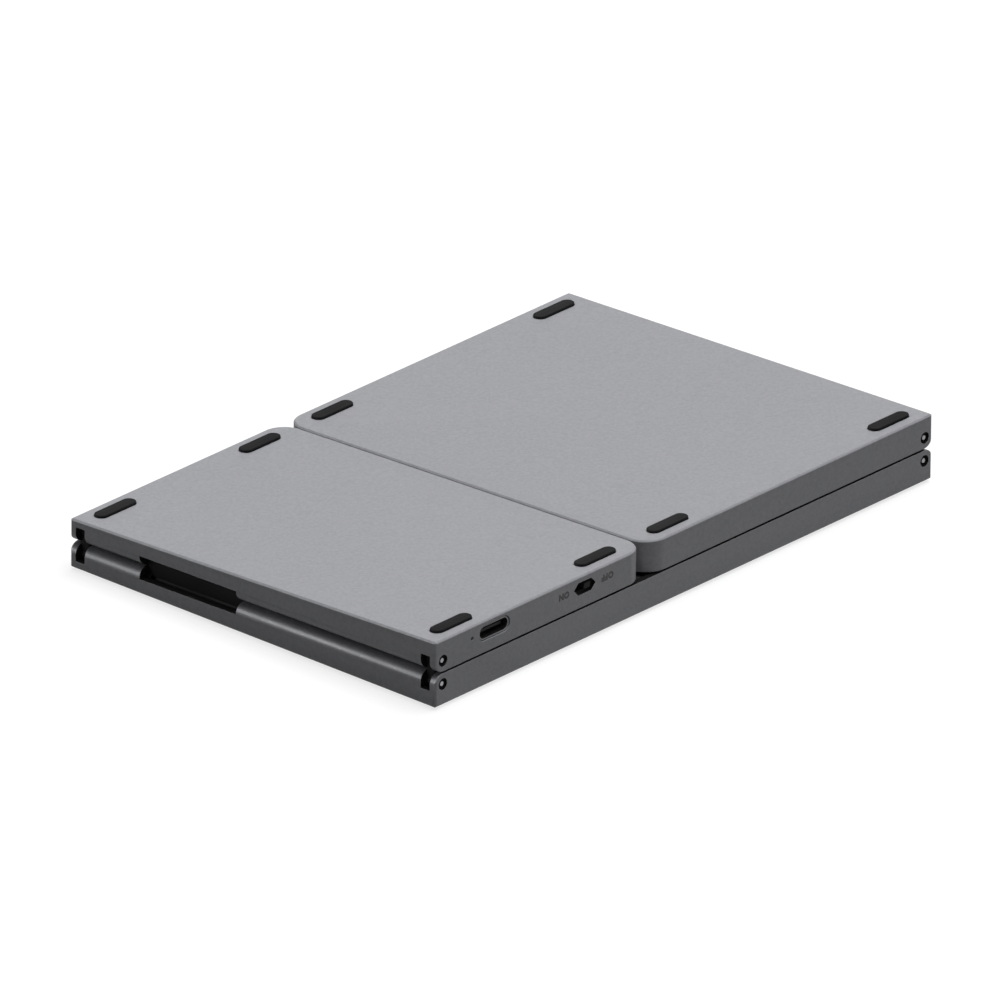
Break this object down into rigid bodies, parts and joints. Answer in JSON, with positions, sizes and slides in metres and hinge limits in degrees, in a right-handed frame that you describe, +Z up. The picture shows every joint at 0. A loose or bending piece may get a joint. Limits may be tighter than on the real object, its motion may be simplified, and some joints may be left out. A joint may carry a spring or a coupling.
{
  "type": "folding keyboard",
  "caption": "Pocket keyboard in three wedge-shaped metal panels: two outer panels fold on double-pin hinges over the middle one, with low scissor keys, a USB-C socket and a slide switch.",
  "frame": {"origin": "centre of the footprint of the folded keyboard, on the surface that the feet of the middle panel stand on", "axes": "+X to the user's right along the folded length, +Y away from the user to the thick back edge, +Z up; stored folded, with the middle panel's keys up"},
  "size_m": [0.15, 0.0958, 0.0151],
  "materials": {
    "tray_metal": "fine blasted and anodised",
    "frame_grey": "fine textured",
    "key_black": "fine matte",
    "key_rubber": "smooth silicone",
    "lever_white": "smooth",
    "sheet_clear": "clear film with printed tracks",
    "plate_steel": "rolled sheet",
    "screw_steel": "zinc plated",
    "magnet_metal": "nickel plated",
    "foot_rubber": "matte",
    "link_black": "black",
    "cover_black": "satin",
    "cable_film": "polyimide film",
    "pin_steel": "ground",
    "battery_foil": "laminated foil",
    "board_green": "solder mask",
    "port_steel": "stamped",
    "port_black": "moulded",
    "slider_black": "moulded",
    "lamp_clear": "clear"
  },
  "bodies": {
    "centre": {"centre_tray": "tray_metal", "centre_key_frame": "frame_grey", "centre_domes": "key_rubber", "centre_scissors": "lever_white", "centre_membrane": "sheet_clear", "centre_switch_plate": "plate_steel", "centre_plate_screws": "screw_steel", "centre_magnets": "magnet_metal", "centre_feet": "foot_rubber", "right_lower_pins": "pin_steel", "left_lower_pins": "pin_steel", "battery": "battery_foil"},
    "right_links": {"right_end_links": "link_black", "right_cable_cover": "cover_black", "right_flat_cable": "cable_film"},
    "left_links": {"left_end_links": "link_black", "left_cable_cover": "cover_black", "left_flat_cable": "cable_film"},
    "right_panel": {"right_tray": "tray_metal", "right_key_frame": "frame_grey", "right_domes": "key_rubber", "right_scissors": "lever_white", "right_membrane": "sheet_clear", "right_switch_plate": "plate_steel", "right_plate_screws": "screw_steel", "right_magnets": "magnet_metal", "right_feet": "foot_rubber", "right_upper_pins": "pin_steel", "control_board": "board_green", "usb_c_shell": "port_steel", "usb_c_tongue": "port_black", "power_switch_body": "port_steel", "lamp_light_pipe": "lamp_clear"},
    "left_panel": {"left_tray": "tray_metal", "left_key_frame": "frame_grey", "left_domes": "key_rubber", "left_scissors": "lever_white", "left_membrane": "sheet_clear", "left_switch_plate": "plate_steel", "left_plate_screws": "screw_steel", "left_magnets": "magnet_metal", "left_feet": "foot_rubber", "left_upper_pins": "pin_steel"},
    "power_slider": {"power_switch_slider": "slider_black"},
    "centre_key_row_1": {"centre_keys_1": "key_black"},
    "centre_key_row_2": {"centre_keys_2": "key_black"},
    "centre_key_row_3": {"centre_keys_3": "key_black"},
    "centre_key_row_4": {"centre_keys_4": "key_black"},
    "centre_key_row_5": {"centre_keys_5": "key_black"},
    "space_key": {"space_bar": "key_black"},
    "right_key_row_1": {"right_keys_1": "key_black"},
    "right_key_row_2": {"right_keys_2": "key_black"},
    "right_key_row_3": {"right_keys_3": "key_black"},
    "right_key_row_4": {"right_keys_4": "key_black"},
    "right_key_row_5": {"right_keys_5": "key_black"},
    "left_key_row_1": {"left_keys_1": "key_black"},
    "left_key_row_2": {"left_keys_2": "key_black"},
    "left_key_row_3": {"left_keys_3": "key_black"},
    "left_key_row_4": {"left_keys_4": "key_black"},
    "left_key_row_5": {"left_keys_5": "key_black"}
  },
  "joints": [
    {"name": "right_hinge_lower", "type": "hinge", "parent": "centre", "child": "right_links", "pos_m": [0.0727, 0.00003, 0.0042], "axis": [0, 0.9998, 0.0188], "range_deg": [0, 90]},
    {"name": "right_hinge_upper", "type": "hinge", "parent": "right_links", "child": "right_panel", "pos_m": [0.0727, -0.00006, 0.0092], "axis": [0, 0.9998, 0.0188], "range_deg": [0, 90]},
    {"name": "left_hinge_lower", "type": "hinge", "parent": "centre", "child": "left_links", "pos_m": [-0.0727, 0.00003, 0.0042], "axis": [0, -0.9998, -0.0188], "range_deg": [0, 90]},
    {"name": "left_hinge_upper", "type": "hinge", "parent": "left_links", "child": "left_panel", "pos_m": [-0.0727, -0.00006, 0.0092], "axis": [0, -0.9998, -0.0188], "range_deg": [0, 90]},
    {"name": "power_slide", "type": "slide", "parent": "right_panel", "child": "power_slider", "axis": [1, 0, 0], "range_m": [0, 0.002]},
    {"name": "centre_press_1", "type": "slide", "parent": "centre", "child": "centre_key_row_1", "axis": [0, 0.0188, -0.9998], "range_m": [0, 0.001], "stiffness_N_per_m": 150, "springref_m": -0.001, "deforming": ["centre_domes", "centre_scissors"]},
    {"name": "centre_press_2", "type": "slide", "parent": "centre", "child": "centre_key_row_2", "axis": [0, 0.0188, -0.9998], "range_m": [0, 0.001], "stiffness_N_per_m": 150, "springref_m": -0.001, "deforming": ["centre_domes", "centre_scissors"]},
    {"name": "centre_press_3", "type": "slide", "parent": "centre", "child": "centre_key_row_3", "axis": [0, 0.0188, -0.9998], "range_m": [0, 0.001], "stiffness_N_per_m": 150, "springref_m": -0.001, "deforming": ["centre_domes", "centre_scissors"]},
    {"name": "centre_press_4", "type": "slide", "parent": "centre", "child": "centre_key_row_4", "axis": [0, 0.0188, -0.9998], "range_m": [0, 0.001], "stiffness_N_per_m": 150, "springref_m": -0.001, "deforming": ["centre_domes", "centre_scissors"]},
    {"name": "centre_press_5", "type": "slide", "parent": "centre", "child": "centre_key_row_5", "axis": [0, 0.0188, -0.9998], "range_m": [0, 0.001], "stiffness_N_per_m": 150, "springref_m": -0.001, "deforming": ["centre_domes", "centre_scissors"]},
    {"name": "space_press", "type": "slide", "parent": "centre", "child": "space_key", "axis": [0, 0.0188, -0.9998], "range_m": [0, 0.001], "stiffness_N_per_m": 150, "springref_m": -0.001, "deforming": ["centre_domes", "centre_scissors"]},
    {"name": "right_press_1", "type": "slide", "parent": "right_panel", "child": "right_key_row_1", "axis": [0, -0.0188, 0.9998], "range_m": [0, 0.001], "stiffness_N_per_m": 150, "springref_m": -0.001, "deforming": ["right_domes", "right_scissors"]},
    {"name": "right_press_2", "type": "slide", "parent": "right_panel", "child": "right_key_row_2", "axis": [0, -0.0188, 0.9998], "range_m": [0, 0.001], "stiffness_N_per_m": 150, "springref_m": -0.001, "deforming": ["right_domes", "right_scissors"]},
    {"name": "right_press_3", "type": "slide", "parent": "right_panel", "child": "right_key_row_3", "axis": [0, -0.0188, 0.9998], "range_m": [0, 0.001], "stiffness_N_per_m": 150, "springref_m": -0.001, "deforming": ["right_domes", "right_scissors"]},
    {"name": "right_press_4", "type": "slide", "parent": "right_panel", "child": "right_key_row_4", "axis": [0, -0.0188, 0.9998], "range_m": [0, 0.001], "stiffness_N_per_m": 150, "springref_m": -0.001, "deforming": ["right_domes", "right_scissors"]},
    {"name": "right_press_5", "type": "slide", "parent": "right_panel", "child": "right_key_row_5", "axis": [0, -0.0188, 0.9998], "range_m": [0, 0.001], "stiffness_N_per_m": 150, "springref_m": -0.001, "deforming": ["right_domes", "right_scissors"]},
    {"name": "left_press_1", "type": "slide", "parent": "left_panel", "child": "left_key_row_1", "axis": [0, -0.0188, 0.9998], "range_m": [0, 0.001], "stiffness_N_per_m": 150, "springref_m": -0.001, "deforming": ["left_domes", "left_scissors"]},
    {"name": "left_press_2", "type": "slide", "parent": "left_panel", "child": "left_key_row_2", "axis": [0, -0.0188, 0.9998], "range_m": [0, 0.001], "stiffness_N_per_m": 150, "springref_m": -0.001, "deforming": ["left_domes", "left_scissors"]},
    {"name": "left_press_3", "type": "slide", "parent": "left_panel", "child": "left_key_row_3", "axis": [0, -0.0188, 0.9998], "range_m": [0, 0.001], "stiffness_N_per_m": 150, "springref_m": -0.001, "deforming": ["left_domes", "left_scissors"]},
    {"name": "left_press_4", "type": "slide", "parent": "left_panel", "child": "left_key_row_4", "axis": [0, -0.0188, 0.9998], "range_m": [0, 0.001], "stiffness_N_per_m": 150, "springref_m": -0.001, "deforming": ["left_domes", "left_scissors"]},
    {"name": "left_press_5", "type": "slide", "parent": "left_panel", "child": "left_key_row_5", "axis": [0, -0.0188, 0.9998], "range_m": [0, 0.001], "stiffness_N_per_m": 150, "springref_m": -0.001, "deforming": ["left_domes", "left_scissors"]}
  ],
  "couplings": [
    {"joint": "right_hinge_upper", "follows": "right_hinge_lower", "ratio": 1},
    {"joint": "left_hinge_upper", "follows": "left_hinge_lower", "ratio": 1}
  ]
}
